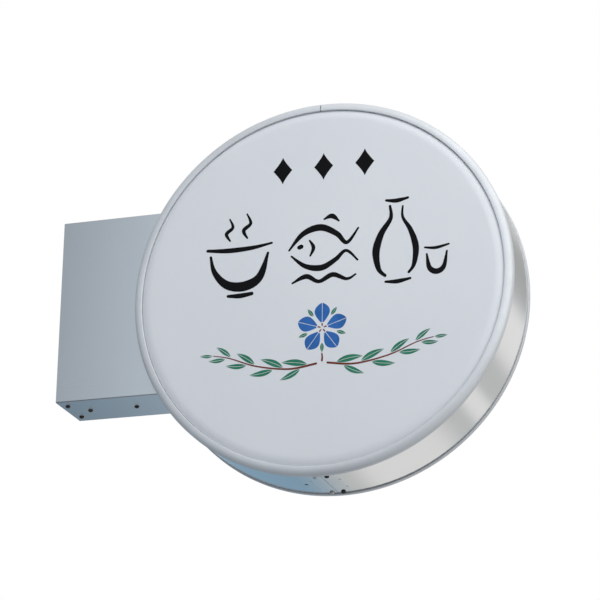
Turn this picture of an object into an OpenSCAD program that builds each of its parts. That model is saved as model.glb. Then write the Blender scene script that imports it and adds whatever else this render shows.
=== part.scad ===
// Double-faced round projecting sign: a light box on a wall-mounted box arm.
// Origin: centre of the wall pan's back. +X away from the wall, front face towards -Y, +Z up.

/* [Drum] */
// Outer diameter of the trim rings
drum_d = 600; // [560:10:640]
// Depth over both trim rings
drum_depth = 130; // [126:1:140]
// Distance from the wall to the drum's axis
reach = 430; // [420:5:450]
// Thickness of the rolled band
band_t = 1.5; // [1.2:0.1:1.8]
// Diameter of the drain hole in the bottom of the band
drain_d = 6; // [4:1:8]

/* [Covers] */
// Depth of a trim ring
ring_depth = 13.7; // [13.5:0.1:14]
// Width of a trim ring, seen from the front
ring_w = 13; // [12:0.5:14]
// Radius of the trim ring's outer shoulder
ring_round = 7; // [5:0.5:8]
// Thickness of the acrylic faces
face_t = 3; // [2:0.5:3.5]
// Width of the acrylic's soft shoulder
face_run = 18; // [14:1:22]
// Depth of the acrylic's soft shoulder
face_round = 8; // [6:0.5:9]
// How far the acrylic's edge reaches under the ring's lip
face_tuck = 1.6; // [1:0.1:2.4]
// Clips that hold each acrylic face in its ring
face_clips_n = 8; // [6:2:12]

/* [Mounting box] */
// Height of the mounting box
box_h = 300; // [290:5:310]
// Depth of the mounting box, front to back
box_d = 100; // [98:1:100]
// Thickness of the mounting box's sheet
box_t = 1.5; // [1.2:0.1:2]
// Distance between the anchor holes, front to back
anchor_y = 60; // [50:5:64]
// Distance between the anchor holes, top to bottom
anchor_z = 200; // [180:5:210]
// Diameter of the anchor holes
anchor_d = 12; // [8:1:14]
// Diameter of the cable entry inside its grommet
cable_entry_d = 16; // [10:1:18]

/* [Lamps] */
// Length of a lamp tube without its pins
lamp_len = 436; // [430:1:438]
// Diameter of a lamp's end cap
lamp_d = 26; // [24:1:26]
// Distance from one lamp to the next
lamp_pitch = 90; // [80:1:90]

/* [Hidden] */

// Curve finenesses
FINE = 144;
ROUND = 48;
SMALL = 24;
ARC_STEPS = 6;
FACE_STEPS = 9;

// Drum: radii and depths measured from the mid-depth plane
ring_r = drum_d / 2;
band_r = ring_r - 2;
band_in_r = band_r - band_t;
face_y = drum_depth / 2;
joint_y = face_y - ring_depth;
band_half = joint_y - 0.8;
lip_y = band_half - 5;
lip_t = 1.5;
lip_in_r = band_in_r - 11.5;
skin = 2;
// Cover: the acrylic's edge and the depths behind it
ring_in_r = ring_r - ring_w;
face_r = ring_in_r + face_tuck;
flange_r = band_in_r - 3.1;
flange_y = face_y - face_round;
flange_back_y = flange_y - face_t;
// The ring's lip ends just above the acrylic's shoulder
tuck_share = 1 - face_tuck / face_run;
lip_depth = face_round * (1 - sqrt(1 - tuck_share * tuck_share)) - 0.2;
clip_t = 1.5;
clip_y = flange_back_y - 0.1;
// Hinge at the top of each cover
hinge_z = ring_r - 1;
hinge_y = joint_y + 0.3;
knuckle_r = 2.2;
hinge_pin_r = 1.2;
running_gap = 0.05;
hinge_hole_r = hinge_pin_r + running_gap;
hinge_half = 25;
moving_half = 8.7;
fixed_start = 9;
notch_half = 27;
notch_reach = 2.6;
leaf_end_y = 28;
leaf_t = 1.7;
hinge_rivet_xs = [-16, 16];
hinge_rivet_y = 38;
hinge_rivet_r = 2;
// Bottom seam with the screws beside it, and the joint at the top of each ring
seam_gap = 0.6;
ring_gap = 1.5;
seam_screw_x = 9;
cover_screw_y = joint_y - 7;
cover_screw_r = 2;
screw_slot_r = 2.35;
drain_x = -36;
strap_half = 30;
strap_rivet_xs = [-22, 22];
strap_rivet_ys = [-20, 20];
// Screws of the mounting box, the arms and the tray: shank, tapped hole, clearance hole and head
m4_r = 1.95;
tapped_r = 2;
clear_r = 2.3;
head_r = 3.8;
head_h = 2.4;
// Mounting box, arms and what they carry
// The sleeve's sheet is this long before the drum's curve cuts it
sleeve_len = reach - 200;
sleeve_x0 = 0.5;
box_in_h = box_h - 2 * box_t;
box_in_d = box_d - 2 * box_t;
pan_depth = 25;
pan_t = 3;
fit_gap = 0.2;
arm_w = 30;
arm_t = 2;
arm_z = box_in_h / 2 - fit_gap - arm_w / 2;
arm_in_z = arm_z - arm_w / 2;
arm_x0 = 28;
arm_x1 = reach + 254;
wall_screw_x = 12;
wall_screw_y = 28;
arm_screw_xs = [38.5, 116];
cleat_t = 10;
cleat_w = 24;
cleat_len = 46;
cleat_xs = [reach - 290, reach + 244];
// Screws that enter the arms from between them: posts, cleats and the power tray
cleat_screw_xs = [reach - 260, reach + 249];
// Lamps and lampholders
lamp_x0 = reach - lamp_len / 2;
lamp_x1 = reach + lamp_len / 2;
lamp_r = lamp_d / 2;
lamp_zs = [lamp_pitch, 0, -lamp_pitch];
holder_t = 19.5;
holder_gap = 0.5;
holder_screw_zs = [-10, 10];
rotor_r = 10;
rotor_depth = 8.5;
pin_pitch = 12.7;
pin_len = 7.1;
post_t = 2;
post_w = 40;
post_flange = 14;
post_tab = 30;
post_left_x = lamp_x0 - holder_gap - holder_t - post_t;
post_right_x = lamp_x1 + holder_gap + holder_t + post_t;
// Power tray
tray_x0 = 50;
tray_w = 70;
tray_y = 20;
tray_t = 2;
psu_size = [44, 34, 150];
psu_x = tray_x0 + 13;
psu_screw_zs = [-psu_size[2] / 2 - 7, psu_size[2] / 2 + 7];
tray_screw_xs = [tray_x0 + 15, tray_x0 + tray_w - 15];
post_screw_xs = [post_left_x + 20, post_right_x - 20];
inner_screw_xs = concat(post_screw_xs, cleat_screw_xs, tray_screw_xs);
// Wiring
loom_r = 2.5;
lead_r = 2.2;
loom_y = 21;
loom_z = arm_in_z + 6;
grommet_in_r = 5;
grommet_neck_r = 7.8;
grommet_r = 10.5;

// Points of a quarter arc, from angle a0 to a1
function arc(cx, cy, r, a0, a1, steps = ARC_STEPS) =
    [for (i = [0 : steps]) let (a = a0 + (a1 - a0) * i / steps) [cx + r * cos(a), cy + r * sin(a)]];

// The same with different radii across and along
function oval_arc(cx, cy, rx, ry, a0, a1, steps = ARC_STEPS) =
    [for (i = [0 : steps]) let (a = a0 + (a1 - a0) * i / steps) [cx + rx * cos(a), cy + ry * sin(a)]];

// Outline of a rectangle with round corners, centred on the origin
function round_rect(w, h, r) = concat(
    arc(w / 2 - r, h / 2 - r, r, 0, 90),
    arc(-w / 2 + r, h / 2 - r, r, 90, 180),
    arc(-w / 2 + r, -h / 2 + r, r, 180, 270),
    arc(w / 2 - r, -h / 2 + r, r, 270, 360)
);

// Turns a profile of (radius, depth) about the drum's axis; the depth runs along +Y
module revolve_drum(turn = 360) {
    translate([reach, 0, 0]) rotate([-90, 0, 0]) rotate_extrude(angle = turn, $fn = FINE) children();
}

// A short stretch of a turned profile, centred on an angle measured from +X towards +Z
module drum_arc(middle, turn) {
    translate([reach, 0, 0]) rotate([0, -middle + turn / 2, 0]) translate([-reach, 0, 0])
        revolve_drum(-turn) children();
}

// Cylinder about the drum's axis, between two depths
module drum_cylinder(r, y0, y1) {
    translate([reach, y0, 0]) rotate([-90, 0, 0]) cylinder(r = r, h = y1 - y0, $fn = FINE);
}

// Rectangle in the plane of a turned profile
module section(r0, r1, y0, y1) {
    translate([r0, y0]) square([r1 - r0, y1 - y0]);
}

module cylinder_x(r, x0, x1, y = 0, z = 0, fn = SMALL) {
    translate([x0, y, z]) rotate([0, 90, 0]) cylinder(r = r, h = x1 - x0, $fn = fn);
}

// Cylinder along Z from z0 to z1
module cylinder_z(r, x, y, z0, z1) {
    translate([x, y, z0]) cylinder(r = r, h = z1 - z0, $fn = SMALL);
}

// Cylinder along Z that crosses the whole sign, to drill with
module drill_z(r, x, y = 0) {
    cylinder_z(r, x, y, -drum_d, drum_d);
}

// Copies its children to the other face of the sign
module to_rear() {
    mirror([0, 1, 0]) children();
}

// Pan-head screw: the head's underside is at z = 0 and the shank points down
module pan_screw(shank_r, shank_len, head_r, head_h) {
    rim = head_h * 0.45;
    difference() {
        union() {
            translate([0, 0, -shank_len]) cylinder(r = shank_r, h = shank_len + 0.2, $fn = SMALL);
            cylinder(r = head_r, h = rim, $fn = SMALL);
            translate([0, 0, rim]) cylinder(r1 = head_r, r2 = head_r * 0.62, h = head_h - rim, $fn = SMALL);
        }
        for (turn = [0, 90]) rotate([0, 0, turn])
            translate([-head_r * 0.5, -head_r * 0.1, head_h * 0.4]) cube([head_r, head_r * 0.2, head_h]);
    }
}

// ---- Wires: a tube swept along rounded points ----

function unit(v) = v / norm(v);
function curve_point(p, i, t) =
    let (a = p[max(i - 1, 0)], b = p[i], c = p[i + 1], d = p[min(i + 2, len(p) - 1)])
    0.5 * (2 * b + (c - a) * t + (2 * a - 5 * b + 4 * c - d) * t * t + (3 * b - a - 3 * c + d) * t * t * t);
function smooth_path(p, steps) = concat(
    [for (i = [0 : len(p) - 2]) for (s = [0 : steps - 1]) curve_point(p, i, s / steps)],
    [p[len(p) - 1]]
);
function tangent(p, i) = unit(p[min(i + 1, len(p) - 1)] - p[max(i - 1, 0)]);
// The direction that leans least along the wire starts the ring of points
function side_of(t) = unit(cross(t, abs(t[1]) < 0.8 ? [0, 1, 0] : [1, 0, 0]));

module wire(points, r, steps = 3, sides = 8) {
    path = smooth_path(points, steps);
    rings = len(path);
    verts = [for (i = [0 : rings - 1])
        let (t = tangent(path, i), u = side_of(t), v = cross(t, u))
        for (k = [0 : sides - 1]) path[i] + r * (cos(360 * k / sides) * u + sin(360 * k / sides) * v)];
    walls = [for (i = [0 : rings - 2]) for (k = [0 : sides - 1])
        let (a = i * sides + k, b = i * sides + (k + 1) % sides) [a, b, b + sides, a + sides]];
    start = [[for (k = [sides - 1 : -1 : 0]) k]];
    finish = [[for (k = [0 : sides - 1]) (rings - 1) * sides + k]];
    polyhedron(points = verts, faces = [for (f = concat(walls, start, finish)) [for (i = f) i]]);
}

// ---- Mounting box ----

module wall_pan() {
    w = box_in_d - 2 * fit_gap;
    h = box_in_h - 2 * fit_gap;
    color("silver") difference() {
        translate([0, -w / 2, -h / 2]) cube([pan_depth, w, h]);
        translate([pan_t, -w / 2 + pan_t, -h / 2 + pan_t]) cube([pan_depth, w - 2 * pan_t, h - 2 * pan_t]);
        for (y = [-1, 1], z = [-1, 1])
            cylinder_x(anchor_d / 2, -1, pan_t + 1, y * anchor_y / 2, z * anchor_z / 2, ROUND);
        cylinder_x(cable_entry_d / 2 + 3, -1, pan_t + 1, 0, 0, ROUND);
        for (y = [-1, 1])
            drill_z(tapped_r, wall_screw_x, y * wall_screw_y);
    }
}

module wall_grommet() {
    hole_r = cable_entry_d / 2 + 3;
    color("dimgray") difference() {
        union() {
            cylinder_x(hole_r, 0.3, pan_t + 3, 0, 0, ROUND);
            cylinder_x(hole_r + 3, pan_t + 0.1, pan_t + 3, 0, 0, ROUND);
        }
        cylinder_x(cable_entry_d / 2, -1, pan_t + 4, 0, 0, ROUND);
    }
}

module box_sleeve() {
    color("gainsboro") difference() {
        rotate([0, 90, 0]) rotate([0, 0, 90]) translate([0, 0, sleeve_x0])
            linear_extrude(height = sleeve_len) polygon(round_rect(box_d, box_h, 2));
        translate([-1, -box_in_d / 2, -box_in_h / 2]) cube([reach, box_in_d, box_in_h]);
        drum_cylinder(band_r + 0.3, -face_y, face_y);
        for (y = [-1, 1]) drill_z(clear_r, wall_screw_x, y * wall_screw_y);
        for (x = arm_screw_xs) drill_z(clear_r, x);
    }
}

module sleeve_screws() {
    color("dimgray") for (flip = [0, 180], y = [-1, 1]) rotate([flip, 0, 0])
        translate([wall_screw_x, y * wall_screw_y, box_h / 2 + 0.05]) pan_screw(m4_r, 8, head_r, head_h);
}

module arm_screws() {
    color("dimgray") for (flip = [0, 180], x = arm_screw_xs) rotate([flip, 0, 0])
        translate([x, 0, box_h / 2 + 0.05]) pan_screw(m4_r, 8, head_r, head_h);
}

// Square tube along X; side is 1 for the upper arm and -1 for the lower
module arm(side) {
    color("slategray") difference() {
        translate([arm_x0, -arm_w / 2, side * arm_z - arm_w / 2]) cube([arm_x1 - arm_x0, arm_w, arm_w]);
        translate([arm_x0 - 1, -arm_w / 2 + arm_t, side * arm_z - arm_w / 2 + arm_t])
            cube([arm_x1 - arm_x0 + 2, arm_w - 2 * arm_t, arm_w - 2 * arm_t]);
        // Holes in the outer wall for the sleeve's screws, and in the inner wall for the rest
        outer_z = side * (arm_z + arm_w / 2 - arm_t / 2);
        for (x = arm_screw_xs) cylinder_z(tapped_r, x, 0, outer_z - 3, outer_z + 3);
        inner_z = side * (arm_in_z + arm_t / 2);
        for (x = inner_screw_xs) cylinder_z(tapped_r, x, 0, inner_z - 3, inner_z + 3);
    }
}

// Screws with their heads between the arms
module inner_screws(xs, head_gap) {
    color("silver") for (flip = [0, 180], x = xs) rotate([flip, 0, 0])
        translate([x, 0, arm_in_z - head_gap]) rotate([180, 0, 0])
            pan_screw(m4_r, head_gap + 4, head_r, head_h);
}

// ---- Drum ----

module drum_band() {
    color("lightgray") difference() {
        revolve_drum() {
            section(band_in_r, band_r, -band_half, band_half);
            section(lip_in_r, band_in_r + 0.1, lip_y - lip_t, lip_y);
            section(lip_in_r, band_in_r + 0.1, -lip_y, -lip_y + lip_t);
        }
        // Butt seam at the bottom
        translate([reach - seam_gap / 2, -face_y, -ring_r]) cube([seam_gap, 2 * face_y, 40]);
        // Slots for the arms, the loom's grommet and the drain
        slot_w = arm_w + 1.5;
        for (side = [-1, 1]) translate([reach - ring_r, -slot_w / 2, side * arm_z - slot_w / 2])
            cube([180, slot_w, slot_w]);
        cylinder_x(grommet_neck_r + 0.2, reach - ring_r - 5, reach - ring_r + 20, 0, 0, ROUND);
        cylinder_z(drain_d / 2, reach + drain_x, 0, -ring_r, -ring_r + 20);
        for (x = strap_rivet_xs, y = strap_rivet_ys)
            cylinder_z(2.1, reach + x, y, -ring_r, -ring_r + 20);
        for (side = [0, 1]) mirror([0, side, 0]) {
            // Open slots for the cover's screws, and room for its tab
            for (x = [-1, 1]) translate([reach + x * seam_screw_x, 0, -ring_r]) {
                cylinder_z(screw_slot_r, 0, -cover_screw_y, 0, 9);
                translate([-screw_slot_r, -face_y, 0]) cube([2 * screw_slot_r, face_y - cover_screw_y, 9]);
            }
            translate([reach - 23, -lip_y - 1, -band_in_r - 0.5]) cube([46, lip_t + 2, 4.2]);
            // Notches for the hinge: through the band's edge and under the skin, through the lip
            translate([reach - notch_half, -face_y, ring_r - 9])
                cube([2 * notch_half, face_y - hinge_y + notch_reach, 20]);
            translate([reach - notch_half, -lip_y - 1, ring_r - 8]) cube([2 * notch_half, lip_t + 2, 4.45]);
            for (x = hinge_rivet_xs)
                cylinder_z(hinge_rivet_r + 0.05, reach + x, -hinge_rivet_y, ring_r - 9, ring_r + 9);
        }
    }
}

module band_grommet() {
    face_x = reach - band_r;
    color("dimgray") difference() {
        union() {
            cylinder_x(grommet_neck_r, face_x - 3, face_x + 4.5, 0, 0, ROUND);
            cylinder_x(grommet_r, face_x - 3, face_x - 0.1, 0, 0, ROUND);
            cylinder_x(grommet_r, face_x + band_t + 0.5, face_x + 4.5, 0, 0, ROUND);
        }
        cylinder_x(grommet_in_r, face_x - 5, face_x + 6, 0, 0, ROUND);
    }
}

// Curved strap inside the band, behind its seam
module butt_strap() {
    color("silver") difference() {
        drum_arc(-90, 14) section(band_in_r - 2.1, band_in_r - 0.1, -strap_half, strap_half);
        for (x = strap_rivet_xs, y = strap_rivet_ys)
            cylinder_z(2.1, reach + x, y, -ring_r, -ring_r + 20);
        cylinder_z(drain_d / 2 + 1, reach + drain_x, 0, -ring_r, -ring_r + 20);
    }
}

module strap_rivets() {
    color("gray") for (x = strap_rivet_xs, y = strap_rivet_ys) {
        z = -sqrt(band_r * band_r - x * x);
        cylinder_z(2, reach + x, y, z - 0.15, z + 3.85);
        cylinder_z(3, reach + x, y, z + 3.85, z + 5.25);
    }
}

// Blocks between the arms and the band
module drum_cleats() {
    color("silver") intersection() {
        drum_cylinder(band_in_r - 0.2, -cleat_w / 2, cleat_w / 2);
        difference() {
            for (side = [0, 1], x = cleat_xs) mirror([0, 0, side])
                translate([x, -cleat_w / 2, arm_in_z - cleat_t - 0.1]) cube([cleat_len, cleat_w, cleat_t]);
            for (x = cleat_screw_xs) drill_z(m4_r + 0.15, x);
        }
    }
}

// Channel between the arms, with its web at x = 0 and its flanges and tabs towards -X and +X
module post_shape() {
    difference() {
        union() {
            translate([0, -post_w / 2, -arm_in_z + 0.1]) cube([post_t, post_w, 2 * arm_in_z - 0.2]);
            for (y = [-post_w / 2, post_w / 2 - post_t])
                translate([-post_flange, y, -arm_in_z + 12])
                    cube([post_flange + 0.1, post_t, 2 * arm_in_z - 24]);
            for (z = [-arm_in_z + 0.1, arm_in_z - 0.1 - post_t])
                translate([0, -arm_w / 2, z]) cube([post_tab, arm_w, post_t]);
        }
        for (z = lamp_zs, dz = holder_screw_zs) cylinder_x(1.6, -1, post_t + 1, 0, z + dz);
        drill_z(m4_r + 0.15, 20);
    }
}

module post_left() {
    color("gainsboro") translate([post_left_x, 0, 0]) post_shape();
}

module post_right() {
    color("gainsboro") translate([post_right_x, 0, 0]) mirror([1, 0, 0]) post_shape();
}

// ---- Lampholders and lamps ----

// Holder with its back at x = 0; the tube side is at x = holder_t
module holder_shape() {
    difference() {
        rotate([0, 90, 0]) linear_extrude(height = holder_t) union() {
            circle(r = 14, $fn = ROUND);
            translate([-18, -12]) square([36, 24]);
        }
        cylinder_x(rotor_r + running_gap, holder_t - rotor_depth, holder_t + 1, 0, 0, ROUND);
        translate([holder_t - rotor_depth, -20, -1.6]) cube([rotor_depth + 1, 20, 3.2]);
        for (dz = holder_screw_zs) cylinder_x(1.25, -1, 7, 0, dz);
    }
}

module lampholders() {
    color("white") for (z = lamp_zs) {
        translate([lamp_x0 - holder_gap - holder_t, 0, z]) holder_shape();
        translate([lamp_x1 + holder_gap + holder_t, 0, z]) mirror([1, 0, 0]) holder_shape();
    }
}

module holder_screws() {
    color("silver") for (z = lamp_zs, dz = holder_screw_zs) {
        translate([post_left_x - 0.05, 0, z + dz]) rotate([0, -90, 0]) pan_screw(1.2, 7, 2.6, 1.8);
        translate([post_right_x + 0.05, 0, z + dz]) rotate([0, 90, 0]) pan_screw(1.2, 7, 2.6, 1.8);
    }
}

// One end: cap, two pins and the holder's rotor, with the cap's face at x = 0 and the lamp towards +X
module lamp_end() {
    rotor_back = -holder_gap - rotor_depth + 0.2;
    rotor_floor = 1.1;
    difference() {
        union() {
            cylinder_x(lamp_r, 0, 18, 0, 0, ROUND);
            for (dz = [-1, 1]) cylinder_x(1.2, -pin_len, 1, 0, dz * pin_pitch / 2);
        }
        cylinder_x(lamp_r - 0.9, 2, 19, 0, 0, ROUND);
    }
    difference() {
        cylinder_x(rotor_r, rotor_back, -holder_gap - 0.1, 0, 0, ROUND);
        translate([rotor_back + rotor_floor, -1.3, -rotor_r - 1]) cube([rotor_depth, 2.6, 2 * rotor_r + 2]);
    }
}

module lamp_caps(z) {
    color("whitesmoke") translate([0, 0, z]) {
        translate([lamp_x0, 0, 0]) lamp_end();
        translate([lamp_x1, 0, 0]) mirror([1, 0, 0]) lamp_end();
    }
}

module lamp_tube(z) {
    tube_r = lamp_r - 1;
    color("white") difference() {
        cylinder_x(tube_r, lamp_x0 + 2.1, lamp_x1 - 2.1, 0, z, ROUND);
        cylinder_x(tube_r - 0.9, lamp_x0 + 1, lamp_x1 - 1, 0, z, ROUND);
    }
}

// Board with light-emitting diodes on both sides
module lamp_board(z) {
    chips = 18;
    pitch = (lamp_len - 40) / chips;
    color("ivory") {
        translate([lamp_x0 + 10, -0.6, z - 8]) cube([lamp_len - 20, 1.2, 16]);
        for (i = [0 : chips - 1], y = [-1.3, 0.5])
            translate([lamp_x0 + 20 + pitch * (i + 0.5) - 1.75, y, z - 1.5]) cube([3.5, 0.8, 3]);
    }
}

// ---- Power and wiring ----

module power_tray() {
    h = arm_in_z - 0.1;
    color("gainsboro") difference() {
        union() {
            translate([tray_x0, tray_y + 0.1, -h]) cube([tray_w, tray_t, 2 * h]);
            for (z = [-h, h - tray_t]) translate([tray_x0, -12, z]) cube([tray_w, tray_y + 12.2, tray_t]);
        }
        for (x = tray_screw_xs) drill_z(m4_r + 0.15, x);
    }
}

module power_supply() {
    w = psu_size[0];
    d = psu_size[1];
    h = psu_size[2];
    color("white") difference() {
        union() {
            translate([psu_x + w / 2, tray_y - d / 2, -h / 2]) linear_extrude(height = h)
                polygon(round_rect(w, d, 3));
            translate([psu_x + w / 2 - 9, tray_y - 2, -h / 2 - 12]) cube([18, 2, h + 24]);
        }
        // Cooling grooves along the front
        for (i = [-2 : 2]) translate([psu_x + w / 2 + i * 7 - 1.5, tray_y - d - 1, -h / 2 + 20])
            cube([3, 2.5, h - 40]);
        for (z = psu_screw_zs) translate([psu_x + w / 2, tray_y + 1, z]) rotate([90, 0, 0])
            cylinder(r = m4_r + 0.15, h = 6, $fn = SMALL);
    }
}

module tray_screws() {
    inner_screws(tray_screw_xs, 0.15 + tray_t);
    color("silver") for (z = psu_screw_zs) translate([psu_x + psu_size[0] / 2, tray_y - 2.05, z])
        rotate([90, 0, 0]) pan_screw(m4_r, 2, head_r, head_h);
}

module terminal_block() {
    color("ivory") translate([pan_t + 0.05, 0, -60]) difference() {
        union() {
            translate([0, -22, -9]) cube([8, 44, 18]);
            for (y = [-14, 0, 14]) translate([0, y - 5.5, -7]) cube([19, 11, 14]);
        }
        for (y = [-14, 0, 14]) {
            cylinder_x(2.4, 12, 20, y, 0);
            translate([5, y - 3, -10]) cube([5, 6, 20]);
        }
    }
}

module earth_stud() {
    color("goldenrod") {
        cylinder_x(3, pan_t + 0.05, pan_t + 17, 0, 60);
        translate([pan_t + 1.5, 0, 60]) rotate([0, 90, 0]) cylinder(r = 5.8, h = 5, $fn = 6);
    }
}

mains_points = [
    [11, 0, -70], [14, 0, -76], [24, 0, -84], [40, 0, -90], [58, 0, -96],
    [76, -2, -98], [84, -4, -92], [85, -4, -76]
];
earth_points = [[16, 4, 64], [18, 8, 70], [26, 13, 78], [36, 16, 85], [43, 17, 91], [46, 17, 98]];
loom_points = [
    [85, 8, -76], [85, 8, -86], [92, 9, -96], [106, 8, -98], [117, 5, -88], [120, 2, -64], [118, 0, -32],
    [120, 0, -8], [128, 0, 0], [142, 0, 0], [158, 3, 0], [171, 8, 10], [181, 12, 28], [182, 12, 58],
    [182, 13, 84], [182, 15, 100], [183, 15.3, 111], [187, 19, 121], [198, 21, 124], [250, 21, 124],
    [320, 21, 124], [430, 21, 124], [540, 21, 124], [640, 21, 124], [662, 21, 124], [673, 19, 121],
    [677, 15.5, 112], [679, 15, 101], [679, 13, 88], [679, 12, 58], [679, 12, 20], [679, 12, -20],
    [679, 12, -58], [679, 11, -76]
];

module mains_lead() {
    color("whitesmoke") wire(mains_points, lead_r);
}

module earth_lead() {
    color("yellowgreen") wire(earth_points, lead_r);
}

module lamp_loom() {
    color("whitesmoke") wire(loom_points, loom_r, 2);
}

// P-clips that hold the loom to the side of the upper arm
module loom_clips() {
    color("dimgray") for (x = [290, 430, 570]) difference() {
        union() {
            cylinder_x(loom_r + 1.3, x - 4, x + 4, loom_y, loom_z - 0.3);
            translate([x - 4, arm_w / 2 + 0.1, loom_z]) cube([8, 1.6, 16]);
            translate([x - 4, arm_w / 2 + 0.1, loom_z]) cube([8, loom_y - arm_w / 2, 1.4]);
        }
        cylinder_x(loom_r + 0.1, x - 5, x + 5, loom_y, loom_z - 0.3);
    }
}

// ---- Covers: each shape is drawn for the front face ----

module ring_shape() {
    out_y = -face_y;
    corner = arc(ring_r - ring_round, out_y + ring_round, ring_round, 0, -90);
    hollow = arc(ring_r - ring_round, out_y + ring_round, ring_round - skin, -90, 0);
    lip = arc(ring_in_r + 1.5, out_y + 1.5, 1.5, -90, -180, 3);
    lip_back = out_y + lip_depth;
    difference() {
        revolve_drum() polygon(concat(
            [[ring_r, -joint_y]], corner, lip,
            [[ring_in_r, lip_back], [ring_in_r + skin, lip_back], [ring_in_r + skin, out_y + skin]],
            hollow, [[ring_r - skin, -joint_y]]
        ));
        // Butt joint at the top, and the pocket around the hinge's knuckles
        translate([reach - ring_gap / 2, -face_y - 1, ring_in_r - 10]) cube([ring_gap, ring_depth + 2, 40]);
        translate([reach - notch_half, -hinge_y - notch_reach, ring_r - 9]) cube([2 * notch_half, 9, 20]);
    }
}

module face_shape() {
    out_y = -face_y;
    cx = face_r - face_run;
    outer = oval_arc(cx, out_y + face_round, face_run, face_round, -90, 0, FACE_STEPS);
    inner = oval_arc(cx, out_y + face_round, face_run - face_t, face_round - face_t, 0, -90, FACE_STEPS);
    color("white") revolve_drum() polygon(concat(
        [[0, out_y]],
        outer,
        [[flange_r, -flange_y], [flange_r, -flange_back_y], [face_r - face_t, -flange_back_y]],
        inner,
        [[0, out_y + face_t]]
    ));
}

// Foam strip between the ring's front and the acrylic's flange
module face_seal_shape() {
    inner_r = max(ring_in_r + skin, face_r) + 0.2;
    color("dimgray") revolve_drum() section(inner_r, flange_r, -face_y + skin + 0.1, -flange_y - 0.1);
}

// Short angle pieces fixed inside the ring, behind the acrylic's flange
module clips_shape() {
    color("silver") for (i = [0 : face_clips_n - 1])
        drum_arc(360 * (i + 0.5) / face_clips_n, 7) union() {
            section(face_r + 1, ring_r - skin - 0.1, -clip_y, -clip_y + clip_t);
            section(ring_r - skin - 1.6, ring_r - skin - 0.1, -clip_y - 4, -clip_y + 0.1);
        }
}

module gasket_shape() {
    color("dimgray") {
        revolve_drum() section(lip_in_r + 1, lip_in_r + 7, -clip_y + clip_t + 0.3, -lip_y - 0.05);
    }
}

// Leaf inside the band, with the two outer knuckles
module hinge_fixed_shape() {
    color("gray") difference() {
        union() {
            intersection() {
                drum_cylinder(band_in_r - 0.1, -hinge_y + 0.6, -leaf_end_y);
                translate([reach - hinge_half, -face_y, 200]) cube([2 * hinge_half, face_y, 120]);
            }
            for (side = [-1, 1]) {
                x0 = side < 0 ? reach - hinge_half : reach + fixed_start;
                cylinder_x(knuckle_r, x0, x0 + hinge_half - fixed_start, -hinge_y, hinge_z);
                translate([x0, -hinge_y + 0.4, ring_r - 5.5]) cube([hinge_half - fixed_start, 1.8, 4]);
            }
        }
        drum_cylinder(band_in_r - 0.1 - leaf_t, -face_y, 0);
        cylinder_x(hinge_hole_r, reach - hinge_half - 1, reach + hinge_half + 1, -hinge_y, hinge_z);
        for (x = hinge_rivet_xs)
            cylinder_z(hinge_rivet_r + 0.05, reach + x, -hinge_rivet_y, ring_r - 9, ring_r + 9);
    }
}

module hinge_pin_shape() {
    color("silver") {
        cylinder_x(hinge_pin_r, reach - hinge_half - 0.6, reach + hinge_half + 0.6, -hinge_y, hinge_z);
        for (x = [-hinge_half - 1.4, hinge_half + 0.2])
            cylinder_x(hinge_pin_r + 0.6, reach + x, reach + x + 1.2, -hinge_y, hinge_z);
    }
}

// Leaf inside the ring, with the middle knuckle
module hinge_moving_shape() {
    leaf_r = ring_r - skin - 0.1;
    color("gray") difference() {
        union() {
            difference() {
                intersection() {
                    drum_cylinder(leaf_r, -face_y + ring_round + 0.2, -hinge_y - notch_reach + 0.1);
                    translate([reach - hinge_half, -face_y, 200]) cube([2 * hinge_half, face_y, 120]);
                }
                drum_cylinder(leaf_r - leaf_t, -face_y - 1, 0);
            }
            cylinder_x(knuckle_r, reach - moving_half, reach + moving_half, -hinge_y, hinge_z);
            translate([reach - moving_half, -hinge_y - notch_reach, ring_r - 3.4])
                cube([2 * moving_half, 2.4, 1.8]);
        }
        cylinder_x(hinge_hole_r, reach - hinge_half, reach + hinge_half, -hinge_y, hinge_z);
    }
}

// Tab under the band at the bottom, with the two screws' holes
module tab_shape() {
    color("silver") difference() {
        union() {
            drum_arc(-90, 8) section(flange_r + 0.4, band_in_r - 0.5, -face_y + 4, -cover_screw_y + 6);
            drum_arc(-90, 8) section(band_in_r - 0.6, ring_r - skin - 0.1, -face_y + 8, -joint_y - 0.7);
        }
        for (x = [-1, 1])
            drill_z(cover_screw_r + running_gap, reach + x * seam_screw_x, -cover_screw_y);
        drum_cylinder(flange_r + 0.4, -face_y, 0);
    }
}

module cover_screws_shape() {
    color("dimgray") for (x = [-1, 1])
        translate([reach + x * seam_screw_x, -cover_screw_y, -band_r - 0.4])
            rotate([180, 0, 0]) pan_screw(cover_screw_r, 5.6, head_r, head_h);
}

module hinge_rivets() {
    color("gray") for (side = [0, 1], x = hinge_rivet_xs) mirror([0, side, 0]) {
        z = sqrt(band_r * band_r - x * x);
        translate([reach + x, -hinge_rivet_y, z]) {
            translate([0, 0, -4.6]) cylinder(r = hinge_rivet_r, h = 5, $fn = SMALL);
            translate([0, 0, 0.2])
                cylinder(r1 = hinge_rivet_r + 1.4, r2 = hinge_rivet_r, h = 1, $fn = SMALL);
            translate([0, 0, -5]) cylinder(r = hinge_rivet_r + 1, h = 1.4, $fn = SMALL);
        }
    }
}

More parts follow.
